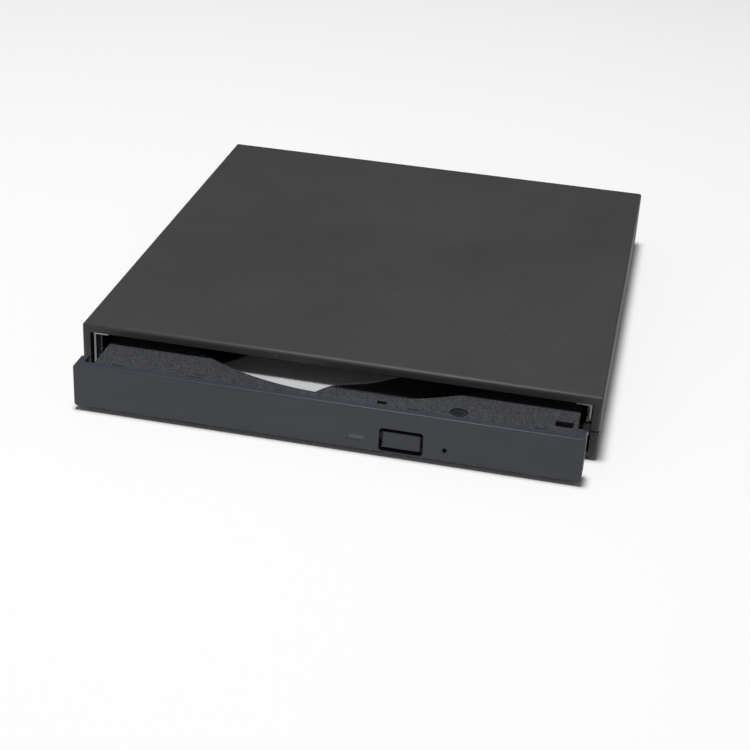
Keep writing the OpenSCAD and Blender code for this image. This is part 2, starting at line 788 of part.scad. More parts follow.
module tray() {
    color("#4a4a4e") on_tray() difference() {
        union() {
            // deck and recess floor in one block
            box(deck_left_x, deck_x, bezel_plate + 0.1, tray_len, belly_z, deck_z);
            both_sides() tray_side();
            // bay wall round the traverse
            translate([0, 0, under_top]) linear_extrude(belly_z - under_top + eps) {
                in_traverse_plan() bay(bay_wall);
            }
            // pivot of the latch lever, with a collar above it
            disc(0.8, latch_z - 0.3, belly_z + eps, latch_at[0], latch_at[1]);
            disc(1.6, latch_z + latch_t + 0.1, belly_z + eps, latch_at[0], latch_at[1]);
            // bar that holds the flat cable's end
            box(flex_x0 - 1, flex_x1 + 1, flex_end, flex_end + 2.4, belly_z - 1.2, belly_z + eps);
            // block that the eject spring presses on
            box(pin_x - 2.6, pin_x + 2.6, tray_len - 16, tray_len, pin_z - 2, belly_z + eps);
            // posts that the small board hangs from
            for (x = [board_x0 + 1.4, board_x1 - 1.4]) {
                disc(1.3, board_z + board_t, belly_z + eps, x, board_t1 - 1.4);
            }
        }
        both_sides() tray_groove();
        // disc recess, open at the tray's tail
        disc(recess_r, recess_z, deck_z + 1, 0, spindle_t);
        // traverse bay below the floor, and its window in the floor
        translate([0, 0, under_z]) linear_extrude(belly_z - under_z) in_traverse_plan() bay(0);
        translate([0, 0, belly_z - 1]) linear_extrude(recess_floor + 1.1) in_traverse_plan() {
            translate([-window_x, bay_y0 + 2.6]) square([2 * window_x, reach - 7]);
            circle(table_r + 1);
        }
        for (p = damper_at) {
            translate([0, spindle_t, 0]) rotate([0, 0, -sled_angle]) {
                disc(damper_screw_r + screw_fit, belly_z - 1, recess_z - 0.2, p[0], p[1]);
            }
        }
        for (p = cover_screw_at()) {
            disc(0.6 + screw_fit, belly_z - 1, recess_z + 1, p[0], p[1]);
        }
        // deck details: screw pocket, two slots and the bezel's snap notches
        disc(2.2, deck_z - 1.1, deck_z + 1, tray_screw_at[0], tray_screw_at[1]);
        disc(0.8 + screw_fit, 0, deck_z, tray_screw_at[0], tray_screw_at[1]);
        box(12.7, 15.1, 3.2, 4.6, belly_z - 1, deck_z + 1);
        soft_slab(56, 60.4, 5.1, 7.7, belly_z - 1, deck_z + 1, 0.4);
        for (x = snap_x) {
            box(x - snap_w / 2 - 0.1, x + snap_w / 2 + 0.1, 0, bezel_plate + 1,
                deck_z - 1.2, deck_z + 1);
        }
        // bore that swallows the eject spring's pin
        rod(pin_r + 0.3, pin_x, pin_z, tray_len - 15, tray_len + 1);
    }
}

// One screw stands in the bay's left wall, two behind the turntable
function cover_screw_at() = [
    from_path(bay_x0 - 0.75 * bay_wall, -0.7 * recess_r),
    [0.4 * recess_r, spindle_t + 0.45 * recess_r],
    [-0.5 * recess_r, spindle_t + 0.58 * recess_r]
];

// A point of the traverse's frame in the tray's frame
function from_path(x, y) = [
    x * cos(sled_angle) + y * sin(sled_angle),
    spindle_t - x * sin(sled_angle) + y * cos(sled_angle)
];

module bezel() {
    color("#2c2c30") on_tray() difference() {
        union() {
            eased_front(-shell_x, shell_x, 0, bezel_plate, 0, bezel_h, bezel_r, front_edge_r);
            both_sides() difference() {
                soft_front(shell_x - 6, shell_x, 0.5, bezel_t, 0, bezel_h, bezel_r);
                box(0, deck_x + 0.2, bezel_plate, bezel_t + 1, 1.4, bezel_h + 1);
            }
            box(-shell_x + 4, shell_x - 4, bezel_plate - eps, bezel_plate + 0.8, 0.6, 1.4);
            for (x = snap_x) {
                box(x - snap_w / 2, x + snap_w / 2, bezel_plate - eps, bezel_plate + 0.9,
                    deck_z - 1.1, deck_z - 0.1);
            }
        }
        soft_front(button_x - button_w / 2 - button_fit, button_x + button_w / 2 + button_fit,
            -1, bezel_plate + 2, button_hole_z, button_hole_z + button_hole_h, 1);
        soft_front(lamp_x - lamp_w / 2 - lamp_fit, lamp_x + lamp_w / 2 + lamp_fit,
            -1, bezel_plate + 2, lamp_z - lamp_h / 2 - lamp_fit, lamp_z + lamp_h / 2 + lamp_fit, 0.3);
        rod(pinhole_r, pinhole_x, pinhole_z, -1, bezel_plate + 2);
    }
}

module light_pipe() {
    color("#cfd3cf") on_tray() {
        soft_front(lamp_x - lamp_w / 2, lamp_x + lamp_w / 2, 0.15, bezel_plate,
            lamp_z - lamp_h / 2, lamp_z + lamp_h / 2, 0.3);
        box(lamp_x - 1.2, lamp_x + 1.2, bezel_plate - eps, board_t0 + 0.2,
            board_z + board_t + 0.05, lamp_z + 0.5);
    }
}

module tray_screw() {
    color("#5a5c60") on_tray() {
        screw_up(tray_screw_at[0], tray_screw_at[1], deck_z - 1.1, 6, 0.8, 2, 0.9);
    }
}

module tray_board() {
    color("darkgreen") on_tray() box(board_x0, board_x1, board_t0, board_t1, board_z, board_z + board_t);
}

module indicator_led() {
    z = board_z + board_t;
    color("#e9e6cf") on_tray() {
        box(lamp_x - 0.9, lamp_x + 0.9, board_t0 + 0.4, board_t0 + 1.6, z, z + 0.8);
    }
}

module eject_switch() {
    z = board_z + board_t;
    color("#b9bcc0") on_tray() {
        box(button_x - 2.4, button_x + 2.4, board_t0 + 1.2, board_t0 + 4, z, z + 1.8);
        rod(0.7, button_x, z + 0.9, switch_tip(), board_t0 + 1.3);
    }
}

// Where the switch's plunger starts, clear of the pressed button's stem
function switch_tip() = board_t0 + 0.5;

module latch_solenoid() {
    x = latch_at[0] + 4;
    t = latch_at[1];
    color("#8d4f2a") on_tray() {
        box(x, x + 8, t + 0.5, t + 11.5, latch_z - 0.2, belly_z - 0.1);
        translate([x - 1.6, t + 6, latch_z + latch_t / 2]) rotate([0, 90, 0]) cylinder(r = 0.5, h = 1.7);
    }
}

module tray_bottom_cover() {
    color("silver") on_tray() difference() {
        box(-low_wall_x + 1, bay_right + 0.2, 4.2, 112, under_z, under_top);
        box(board_x0 - 1.2, bay_right + 1, 0, board_t1 + 1.2, under_z - 1, under_top + 1);
    }
}

// The bright plate over the mechanism: its front and left follow the recess
module mechanism_cover() {
    side = cut_corners([[-9, -66], [-1.6, -50.8], [7.4, -47.5], [13, -43], [24, -32], [30, -16],
        [30, 28], [18, 42], [-36, 46], [-70, 30], [-70, -70], [-9, -70]], 3);
    color("#dcdde0") on_tray() translate([0, spindle_t, recess_z]) linear_extrude(thin_sheet) {
        difference() {
            intersection() {
                circle(recess_r - 0.3, $fn = 128);
                polygon(side);
                translate([-deck_x, -spindle_t]) square([2 * deck_x, tray_len]);
            }
            circle(table_r + 0.8);
            rotate(-sled_angle) translate([-8, -reach - 2]) soft_rect(16, reach - 5, 3);
            for (p = cover_screw_at()) {
                translate([p[0], p[1] - spindle_t]) circle(0.6 + screw_fit);
            }
        }
    }
}

module cover_screws() {
    color("#9a9ca0") on_tray() for (p = cover_screw_at()) {
        screw_up(p[0], p[1], plate_z, 1.3, 0.6, 1.3, 0.4);
    }
}

// Traverse: everything that reads the disc, hung on three rubber dampers

module traverse_frame() {
    x0 = bay_x0 + frame_room;
    x1 = bay_x1 - frame_room;
    y0 = bay_y0 + frame_room;
    y1 = bay_y1 - frame_room;
    color("#a7a9ad") on_traverse() difference() {
        union() {
            box(x0, x1, y0, y1, frame_z, frame_z + frame_t);
            for (x = rod_x, y = [y0, rod_y1 - 0.1]) {
                box(x - 1.6, x + 1.6, y, y + 1.1, frame_z - rod_d - 0.4, frame_z + eps);
            }
            box(screw_x - 1.5, screw_x + 1.5, screw_y0 - 0.4, screw_y0 + 0.8,
                rod_z - screw_d / 2 - 0.5, frame_z + eps);
        }
        box(-window_x, window_x, y0 + 1.2, -13, 0, 20);
        // room for the sled's motor, and for the spindle's bearing
        box(x0 - 1, screw_x + 2.1, screw_y1 - 0.4, screw_y1 + 12.4, 0, 20);
        disc(3.2, 0, 20);
        for (p = damper_at) {
            disc(damper_neck + screw_fit, 0, 20, p[0], p[1]);
        }
        for (x = rod_x) {
            rod(rod_d / 2 + screw_fit, x, rod_z, rod_y0 - 1, rod_y1 + 2);
        }
        rod(screw_d / 2 + run_fit, screw_x, rod_z, screw_y0 - 1, screw_y0 + 2);
    }
}

module rubber_dampers() {
    low = frame_z - 0.05;
    high = frame_z + frame_t + 0.05;
    color("#2a2a6a") on_traverse() for (p = damper_at) {
        difference() {
            union() {
                disc(damper_r, low - 0.65, low, p[0], p[1]);
                disc(damper_neck, low - 0.1, high + 0.1, p[0], p[1]);
                disc(damper_r, high, belly_z - 0.05, p[0], p[1]);
            }
            disc(damper_screw_r + screw_fit, 0, 20, p[0], p[1]);
        }
    }
}

module damper_screws() {
    color("#9a9ca0") on_traverse() for (p = damper_at) {
        screw_down(p[0], p[1], frame_z - 0.75, belly_z - frame_z + 0.75 + 0.9,
            damper_screw_r, 1.7, 0.7);
    }
}

module spindle_motor() {
    color("#6b6e73") on_traverse() difference() {
        union() {
            disc(motor_r, under_top + 0.4, frame_z);
            disc(2.9, frame_z - eps, frame_z + frame_t + 0.9);
        }
        disc(spindle_r + run_fit, under_top + 0.8, frame_z + 5);
    }
}

module guide_rods() {
    color("#d5d7da") on_traverse() for (x = rod_x) {
        rod(rod_d / 2, x, rod_z, rod_y0, rod_y1 + 1);
    }
}

module sled_motor() {
    color("#b5b7bb") on_traverse() difference() {
        union() {
            rod(1.9, screw_x, rod_z, screw_y1, screw_y1 + 12);
            box(screw_x - 1.5, screw_x + 4, screw_y1 + 0.2, screw_y1 + 0.8, rod_z - 1, frame_z);
        }
        rod(screw_d / 2 - 0.4 + run_fit, screw_x, rod_z, screw_y1 - 1, screw_y1 + 6);
    }
}

// Moving pieces

module eject_button() {
    z0 = button_z - button_h / 2;
    x0 = button_x - button_w / 2;
    color("#26262a") on_tray() {
        eased_front(x0, x0 + button_w, button_sunk, bezel_plate + 0.6, z0, z0 + button_h,
            0.7, front_edge_r);
        // stem that reaches the switch, and two flats that keep the button in
        box(button_x - 1.1, button_x + 1.1, bezel_plate + 0.5,
            switch_tip() - button_travel - 0.05, board_z + board_t + 0.2, board_z + board_t + 1.8);
        box(x0 - 1.2, x0 + button_w + 1.2, bezel_plate + 0.15, bezel_plate + 0.6 + eps,
            z0 + 1.4, z0 + button_h - 1);
    }
}

// Hooks the post when the tray is closed; drawn swung clear of it, as just after an eject
module latch_lever() {
    pin_reach = pinhole_x - latch_at[0];
    color("#c4c6ca") on_tray() translate([latch_at[0], latch_at[1], latch_z]) {
        rotate([0, 0, -latch_swing]) difference() {
            union() {
                cylinder(r = 1.8, h = latch_t);
                box(-0.8, 1, 0, latch_hook + 1.6, 0, latch_t);
                box(-2.2, eps, latch_hook, latch_hook + 1.6, 0, latch_t);
            }
            cylinder(r = 0.8 + run_fit, h = 3, center = true);
        }
        // arm that a pin pushed through the bezel's small hole moves
        difference() {
            box(pin_reach - 1, -1, -0.9, 0.5, 0, latch_t);
            cylinder(r = 0.8 + run_fit, h = 3, center = true);
        }
    }
}

module turntable() {
    can_z = frame_z + frame_t + 0.25;
    rim_z = recess_z + 0.1;
    color("#3c3d40") on_traverse() {
        difference() {
            union() {
                disc(motor_r + 0.6, can_z, rim_z + eps);
                disc(table_r, rim_z, seat_z);
            }
            disc(motor_r - 0.6, can_z - 1, can_z + 0.9);
        }
        disc(spindle_r, under_top + 1.2, can_z + 1);
    }
}

// Centring hub: the disc's hole drops over it and three claws hold the disc down
module disc_hub() {
    color("#d8d8d4") on_traverse() difference() {
        union() {
            disc(hub_r, seat_z, seat_z + hub_h);
            disc(hub_r - 0.8, seat_z + hub_h - eps, seat_z + hub_h + 0.6);
        }
        disc(2.2, seat_z + hub_h - 0.3, seat_z + hub_h + 1);
        for (k = [0:2]) {
            rotate([0, 0, 120 * k]) {
                box(hub_r - 3, hub_r + 1, -claw_w / 2 - 0.1, claw_w / 2 + 0.1,
                    seat_z + 0.3, seat_z + hub_h + 1);
            }
        }
    }
}

// The claws are drawn pressed in, level with the hub, as a disc leaves them
module hub_claws() {
    color("#55575c") on_traverse() for (k = [0:2]) {
        rotate([0, 0, 120 * k]) intersection() {
            box(hub_r - 2.9, hub_r, -claw_w / 2, claw_w / 2, seat_z + 0.3, seat_z + hub_h + 0.4);
            disc(hub_r - 0.02, seat_z, seat_z + hub_h + 1);
        }
    }
}

// Optical pickup: the sled on its rods, with an open pocket for the lens
module pickup_sled() {
    y0 = -lens_rest - 4.6;
    y1 = -lens_rest + 11;
    color("#77797d") on_traverse() difference() {
        union() {
            box(rod_x[0] - 2, rod_x[1] + 1.9, y0, y1, under_top + 0.4, frame_z - 0.1);
            box(-sled_top_x, sled_top_x, y0 + 0.2, y1 - 1, frame_z - 0.2, sled_top_z);
            // tooth that follows the lead screw
            box(screw_x + screw_d / 2 + run_fit, rod_x[0], y0 + 5, y0 + 8, rod_z - 0.5, rod_z + 0.5);
        }
        box(-pocket_x, pocket_x, -lens_rest - 3.6, -lens_rest + 7.4, sled_top_z - 2, sled_top_z + 1);
        // corner that clears the outer damper
        box(screw_x, rod_x[0] + 1.4, y0 - 1, y0 + 3, 0, frame_z);
        for (x = rod_x) {
            rod(rod_d / 2 + run_fit, x, rod_z, y0 - 1, y1 + 1);
        }
        disc(1.6, under_top, sled_top_z, 0, -lens_rest);
        // hollow that clears the spindle's motor
        disc(motor_r + 3.2, 0, frame_z - 1);
    }
}

module pickup_cover() {
    color("silver") on_traverse() difference() {
        box(-sled_top_x, sled_top_x, -lens_rest - 4.4, -lens_rest + 10, sled_top_z, sled_top_z + 0.15);
        box(-pocket_x, pocket_x, -lens_rest - 3.6, -lens_rest + 5, sled_top_z - 1, sled_top_z + 1);
    }
}

module lens_frame() {
    z = sled_top_z - 1.2;
    color("#2a2a2c") on_traverse() difference() {
        union() {
            box(-pocket_x + 0.7, pocket_x - 0.7, -lens_rest - 3, -lens_rest + 3, z, z + 0.9);
            disc(2.6, z, z + 1.1, 0, -lens_rest);
        }
        disc(lens_r + screw_fit, z + 0.4, z + 2, 0, -lens_rest);
        disc(1.5, z - 1, z + 1, 0, -lens_rest);
    }
}

// Four fine wires that the lens frame hangs on
module suspension_wires() {
    color("#c08a3e") on_traverse() for (x = [-1, 1], z = [-0.95, -0.5]) {
        rod(0.1, x * (pocket_x - 0.35), sled_top_z + z, -lens_rest - 2, -lens_rest + 7.3);
    }
}

module objective_lens() {
    z = sled_top_z - 0.8;
    dome_r = 3.4;
    dome_drop = sqrt(dome_r * dome_r - lens_r * lens_r);
    color("#8fa7c8") on_traverse() translate([0, -lens_rest, z]) {
        cylinder(r = lens_r, h = 0.35);
        intersection() {
            translate([0, 0, 0.3 - dome_drop]) sphere(dome_r);
            cylinder(r = lens_r, h = 2);
        }
    }
}

module lead_screw() {
    color("#d5d7da") on_traverse() {
        rod(screw_d / 2, screw_x, rod_z, screw_y0, screw_y1 - 0.2);
        rod(screw_d / 2 - 0.4, screw_x, rod_z, screw_y1 - 0.3, screw_y1 + 5);
    }
}

top_cover();
bottom_case();
rubber_feet();
case_screws();
chassis_bottom();
chassis_top();
chassis_screws();
left_rail_guide();
right_rail_guide();
main_board();
main_board_chips();
drive_connector();
bridge_connector();
bridge_board();
bridge_chips();
board_screws();
usb_socket();
dc_socket();
rear_bracket();
bracket_screw();
latch_post();
eject_guide_pin();
eject_spring();
flex_cable();
left_rail();
right_rail();
tray();
bezel();
light_pipe();
tray_screw();
tray_board();
indicator_led();
eject_switch();
latch_solenoid();
tray_bottom_cover();
mechanism_cover();
cover_screws();
traverse_frame();
rubber_dampers();
damper_screws();
spindle_motor();
guide_rods();
sled_motor();
eject_button();
latch_lever();
turntable();
disc_hub();
hub_claws();
pickup_sled();
pickup_cover();
lens_frame();
suspension_wires();
objective_lens();
lead_screw();
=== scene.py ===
# Looks of the external optical drive, its floor, its light and its camera.
# Metres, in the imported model's frame: +X is the user's right, +Y runs back, +Z is up.
import math

import bmesh
import bpy
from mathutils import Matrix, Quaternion, Vector


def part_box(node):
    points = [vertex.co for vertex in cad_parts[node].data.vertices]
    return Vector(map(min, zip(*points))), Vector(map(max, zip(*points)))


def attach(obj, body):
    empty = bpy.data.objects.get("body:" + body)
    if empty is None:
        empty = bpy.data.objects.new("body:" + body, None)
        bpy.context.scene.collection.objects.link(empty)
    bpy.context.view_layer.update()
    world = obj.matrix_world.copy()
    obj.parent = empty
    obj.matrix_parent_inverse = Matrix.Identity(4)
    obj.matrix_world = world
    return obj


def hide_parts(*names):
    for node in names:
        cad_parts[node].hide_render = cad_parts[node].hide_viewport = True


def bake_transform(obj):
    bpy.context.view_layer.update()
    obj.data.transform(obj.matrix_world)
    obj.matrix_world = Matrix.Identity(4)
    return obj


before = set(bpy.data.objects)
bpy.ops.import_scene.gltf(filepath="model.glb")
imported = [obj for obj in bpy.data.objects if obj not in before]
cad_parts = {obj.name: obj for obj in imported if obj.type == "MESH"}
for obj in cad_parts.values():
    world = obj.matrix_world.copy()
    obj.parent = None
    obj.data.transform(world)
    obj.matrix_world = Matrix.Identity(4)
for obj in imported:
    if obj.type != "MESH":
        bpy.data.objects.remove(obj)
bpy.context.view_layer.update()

MM = 0.001


# ---------------------------------------------------------------- small helpers

def linear(code):
    """An sRGB hex colour as linear red, green, blue and alpha."""
    parts = [int(code[i:i + 2], 16) / 255 for i in (1, 3, 5)]
    curve = [p / 12.92 if p <= 0.04045 else ((p + 0.055) / 1.055) ** 2.4 for p in parts]
    return (*curve, 1.0)


def add(tree, kind, settings=None, links=None):
    """A node of that kind, with its attributes or input values set and its inputs linked."""
    node = tree.nodes.new("ShaderNode" + kind)
    for name, value in (settings or {}).items():
        if isinstance(name, str) and hasattr(node, name):
            setattr(node, name, value)
        else:
            node.inputs[name].default_value = value
    for name, source in (links or {}).items():
        tree.links.new(source, node.inputs[name])
    return node


def start(name, metallic=0.0, roughness=0.5, **sockets):
    """A new material: its tree, its shader and the object's own coordinates in metres."""
    material = bpy.data.materials.new(name)
    material.use_nodes = True
    tree = material.node_tree
    shader = tree.nodes["Principled BSDF"]
    shader.inputs["Metallic"].default_value = metallic
    shader.inputs["Roughness"].default_value = roughness
    for socket, value in sockets.items():
        shader.inputs[socket.replace("_", " ")].default_value = value
    place = add(tree, "TexCoord").outputs["Object"]
    return material, tree, shader, place


def per_mm(size):
    """Texture scale that repeats a pattern every so many millimetres."""
    return 1 / (size * MM)


def noise(tree, place, size, detail, roughness=0.5):
    """Random cloud with lumps of about that many millimetres."""
    node = add(tree, "TexNoise", {"Scale": per_mm(size), "Detail": detail, "Roughness": roughness},
               {"Vector": place})
    return node.outputs["Fac"]


def between(tree, base, light, source):
    """A colour that goes from base to light as source goes from 0 to 1."""
    node = add(tree, "MixRGB", {"Color1": linear(base), "Color2": linear(light)}, {"Fac": source})
    return node.outputs["Color"]


def paint(tree, shader, colour):
    tree.links.new(colour, shader.inputs["Base Color"])


def shine(tree, shader, source, low, high, start_at=0.3, end_at=0.7):
    """Roughness from low to high as source goes from start_at to end_at."""
    node = add(tree, "MapRange", {"From Min": start_at, "From Max": end_at, "To Min": low,
                                  "To Max": high}, {"Value": source})
    tree.links.new(node.outputs["Result"], shader.inputs["Roughness"])


def relief(tree, shader, height, strength, depth, edge=0):
    """Bumps of that depth in mm, on edges rounded to the eye by the radius edge in mm."""
    links = {"Height": height}
    if edge:
        links["Normal"] = add(tree, "Bevel", {"samples": 4, "Radius": edge * MM}).outputs["Normal"]
    bump = add(tree, "Bump", {"Strength": strength, "Distance": depth * MM}, links)
    tree.links.new(bump.outputs["Normal"], shader.inputs["Normal"])


# ---------------------------------------------------------------- materials

def sparked_abs(name, base, light, grain, depth, low, high, fleck):
    """ABS moulded in a spark-eroded steel mould: a dry pebbled grain that breaks up every
    reflection into light and dark grains, a slightly greyer cloud where hands have polished
    it, a few pale specks of dust, and edges that catch a thin line of light.
    The grain is drawn about twice its real size, or it would be finer than the picture."""
    material, tree, shader, place = start(name, IOR=1.54)
    grit = noise(tree, place, grain, 4.0, 0.7)
    pebble = add(tree, "MapRange", {"From Min": 0.4, "From Max": 0.62}, {"Value": grit})
    cloud = noise(tree, place, 38, 4.0)
    grained = add(tree, "MixRGB", {"blend_type": "MULTIPLY", "Fac": fleck},
                  {"Color1": between(tree, base, light, cloud), "Color2": pebble.outputs["Result"]})
    dust = add(tree, "TexVoronoi", {"Scale": per_mm(6.5), "Randomness": 1.0}, {"Vector": place})
    speck = add(tree, "MapRange", {"From Min": 0.02, "From Max": 0.045, "To Min": 0.3, "To Max": 0.0},
                {"Value": dust.outputs["Distance"]})
    dusty = add(tree, "MixRGB", {"Color2": linear("#9a9a9c")},
                {"Fac": speck.outputs["Result"], "Color1": grained.outputs["Color"]})
    paint(tree, shader, dusty.outputs["Color"])
    shine(tree, shader, cloud, low, high)
    relief(tree, shader, grit, 0.8, depth, edge=0.14)
    return material


def polished_abs(name, base, light, low, high):
    """ABS moulded in a polished mould: a satin skin with the slow waves that a cooling
    moulding gets, and faint wiping marks that show only in its shine."""
    material, tree, shader, place = start(name, IOR=1.54)
    paint(tree, shader, between(tree, base, light, noise(tree, place, 22, 3.0)))
    along = add(tree, "Mapping", {"Scale": (per_mm(16.7), per_mm(1.1), per_mm(1.1))},
                {"Vector": place})
    wiping = add(tree, "TexNoise", {"Scale": 1.0, "Detail": 5.0, "Roughness": 0.65},
                 {"Vector": along.outputs["Vector"]})
    shine(tree, shader, wiping.outputs["Fac"], low, high, 0.35, 0.65)
    relief(tree, shader, noise(tree, place, 0.35, 2.0), 0.25, 0.012, edge=0.12)
    return material


def rolled_steel(name, base, light, low, high, lines=0.12, stretch=40, metallic=1.0):
    """Sheet steel with a zinc or nickel skin, rolled and then pressed: long faint rolling
    lines, a cloudy grey that shifts with the coating, and small handling marks."""
    material, tree, shader, place = start(name, metallic=metallic)
    cloud = noise(tree, place, 9, 5.0, 0.6)
    along = add(tree, "Mapping", {"Scale": (per_mm(lines), per_mm(lines * stretch), per_mm(lines))},
                {"Vector": place})
    rolling = add(tree, "TexNoise", {"Scale": 1.0, "Detail": 2.0}, {"Vector": along.outputs["Vector"]})
    paint(tree, shader, between(tree, base, light, cloud))
    mixed = add(tree, "MixRGB", {"Fac": 0.4}, {"Color1": cloud, "Color2": rolling.outputs["Fac"]})
    shine(tree, shader, mixed.outputs["Color"], low, high)
    relief(tree, shader, rolling.outputs["Fac"], 0.3, 0.01, edge=0.1)
    return material


def turned_steel(name, base, light, low, high):
    """Bar steel turned or ground: a fine tooth left by the tool, and darker oil stains."""
    material, tree, shader, place = start(name, metallic=1.0)
    stain = noise(tree, place, 3, 4.0)
    paint(tree, shader, between(tree, base, light, stain))
    shine(tree, shader, stain, low, high)
    relief(tree, shader, noise(tree, place, 0.14, 1.0), 0.25, 0.008)
    return material


def solder_masked_board(name, base, copper):
    """Glass-fibre board under green solder mask: copper runs show through as paler green
    lines with a slight step, drawn coarser than real ones so that they show."""
    material, tree, shader, place = start(name, roughness=0.35, IOR=1.5, Coat_Weight=0.3)
    runs = add(tree, "TexBrick", {"Scale": per_mm(8), "Mortar Size": 0.03, "offset": 0.37,
                                  "Color1": linear(base), "Color2": linear(base),
                                  "Mortar": linear(copper)}, {"Vector": place})
    weave = add(tree, "TexChecker", {"Scale": per_mm(0.7)}, {"Vector": place})
    cloth = add(tree, "MixRGB", {"blend_type": "MULTIPLY", "Fac": 0.08},
                {"Color1": runs.outputs["Color"], "Color2": weave.outputs["Color"]})
    paint(tree, shader, cloth.outputs["Color"])
    relief(tree, shader, runs.outputs["Fac"], 0.4, 0.03)
    return material


def dull_moulding(name, base, light, low, high, grain=0.5, **sockets):
    """Small filled-plastic, rubber or die-cast pieces: an even dull skin with a little chalky
    unevenness and fine pores."""
    material, tree, shader, place = start(name, **sockets)
    chalk = noise(tree, place, 4, 5.0)
    paint(tree, shader, between(tree, base, light, chalk))
    shine(tree, shader, chalk, low, high)
    relief(tree, shader, noise(tree, place, grain, 2.0), 0.35, 0.02, edge=0.1)
    return material


def wound_copper(name, base, light):
    """Enamelled copper wire wound tight: bright ridges side by side, drawn coarser than the
    real wire so that they show."""
    material, tree, shader, place = start(name, metallic=1.0, roughness=0.3)
    turns = add(tree, "TexWave", {"Scale": per_mm(2.5), "bands_direction": "Y", "Distortion": 0.6},
                {"Vector": place})
    paint(tree, shader, between(tree, base, light, turns.outputs["Fac"]))
    relief(tree, shader, turns.outputs["Fac"], 0.6, 0.1)
    return material


def amber_film(name, base, copper):
    """Polyimide film over flat copper strips: amber, shiny, with the strips showing as
    pinkish stripes."""
    material, tree, shader, place = start(name, roughness=0.25, IOR=1.7, Coat_Weight=0.5)
    strips = add(tree, "TexWave", {"Scale": per_mm(3.1), "bands_direction": "X"}, {"Vector": place})
    paint(tree, shader, between(tree, base, copper, strips.outputs["Fac"]))
    relief(tree, shader, strips.outputs["Fac"], 0.3, 0.02)
    return material


def clear_moulding(name, base, light, through, roughness):
    """Clear acrylic, resin or glass, moulded: it lets through the share of light named
    through, with a little haze in it."""
    material, tree, shader, place = start(name, roughness=roughness, IOR=1.49,
                                          Transmission_Weight=through)
    haze = noise(tree, place, 1.5, 3.0)
    paint(tree, shader, between(tree, base, light, haze))
    relief(tree, shader, haze, 0.15, 0.01)
    return material


case_abs = sparked_abs("sparked_black_abs", "#363435", "#3e3c3f", 0.3, 0.06, 0.5, 0.6, 0.4)
lower_case_abs = sparked_abs("sparked_black_abs_lower", "#2c2c2e", "#343436", 0.3, 0.06, 0.5, 0.6, 0.4)
tray_abs = sparked_abs("coarse_sparked_grey_abs", "#393a40", "#46484e", 0.55, 0.22, 0.55, 0.66, 0.85)
bezel_abs = polished_abs("satin_black_abs", "#2a2d35", "#31353e", 0.44, 0.55)
button_abs = polished_abs("satin_black_abs_button", "#26282f", "#2d3038", 0.42, 0.5)
zinc_sheet = rolled_steel("zinc_coated_sheet", "#a6a9ac", "#c3c6c8", 0.36, 0.5)
pickup_sheet = rolled_steel("blackened_pickup_sheet", "#3b3d41", "#4b4d52", 0.4, 0.52)
# Partly real, partly painted reflection: the plate is pale nickel-plated steel, but it is only one
# third metallic. Its pale base colour therefore shows under the lamp as a painted reflection of the
# bright room, in place of a mirror reflection.
plate_with_painted_reflection = rolled_steel("nickel_plate_painted_reflection", "#c6c7c9", "#d8d9db", 0.5, 0.62, lines=0.2,
                            metallic=0.35)
grey_pressing = rolled_steel("phosphated_steel_pressing", "#85888c", "#a1a4a8", 0.35, 0.5)
lever_pressing = rolled_steel("blanked_steel_lever", "#aeb1b5", "#c9ccd0", 0.28, 0.4)
socket_shell = rolled_steel("tinned_socket_shell", "#c0c3c6", "#d8dadd", 0.22, 0.34)
pickup_casting = dull_moulding("die_cast_zinc", "#6d7074", "#85888c", 0.45, 0.6, Metallic=1.0)
screw_steel = turned_steel("zinc_plated_screw", "#8d9095", "#aeb1b6", 0.28, 0.42)
black_screw = turned_steel("blackened_screw", "#4f5156", "#7f8288", 0.25, 0.4)
ground_bar = turned_steel("ground_steel_bar", "#b7babf", "#d4d7da", 0.16, 0.26)
spring_wire = turned_steel("spring_steel_wire", "#9fa2a7", "#c3c6ca", 0.2, 0.32)
motor_can = turned_steel("drawn_steel_can", "#7d8085", "#989ba0", 0.3, 0.4)
rail_strip = rolled_steel("polished_rail_strip", "#b5b8bc", "#d2d4d7", 0.18, 0.3, stretch=80)
hub_metal = turned_steel("turned_hub", "#bebebb", "#c9c9c6", 0.26, 0.34)
board = solder_masked_board("green_solder_mask", "#174a30", "#2b7048")
chip_epoxy = dull_moulding("moulded_epoxy", "#141416", "#1d1d1f", 0.5, 0.65)
black_nylon = dull_moulding("black_nylon", "#191a1b", "#232426", 0.38, 0.5)
cream_nylon = dull_moulding("cream_nylon", "#d9d5c5", "#e6e3d6", 0.4, 0.5)
slide_acetal = dull_moulding("black_acetal", "#1a1b1c", "#242527", 0.3, 0.42)
table_moulding = dull_moulding("filled_black_plastic", "#232427", "#313236", 0.42, 0.55)
claw_acetal = dull_moulding("grey_acetal", "#4a4c50", "#5c5e63", 0.32, 0.45)
foot_rubber = dull_moulding("moulded_rubber", "#161617", "#212122", 0.7, 0.85, grain=0.4)
damper_rubber = dull_moulding("blue_damper_rubber", "#1d2840", "#2a3652", 0.6, 0.75)
lens_mount = dull_moulding("liquid_crystal_polymer", "#1d1d1f", "#2c2c2f", 0.45, 0.6)
copper_coil = wound_copper("enamelled_copper_winding", "#7a3e20", "#b9683a")
wire_copper = turned_steel("beryllium_copper_wire", "#a8713a", "#d09a55", 0.2, 0.3)
flex_film = amber_film("polyimide_film", "#b5762a", "#c98a4f")
lamp_window = clear_moulding("smoked_acrylic", "#4d5058", "#5d6069", 0.15, 0.16)
lamp_resin = clear_moulding("lamp_resin", "#e2dcc0", "#efe9d0", 0.35, 0.2)
lens_glass = clear_moulding("coated_lens_glass", "#6f8fc4", "#9fb6dc", 0.75, 0.03)

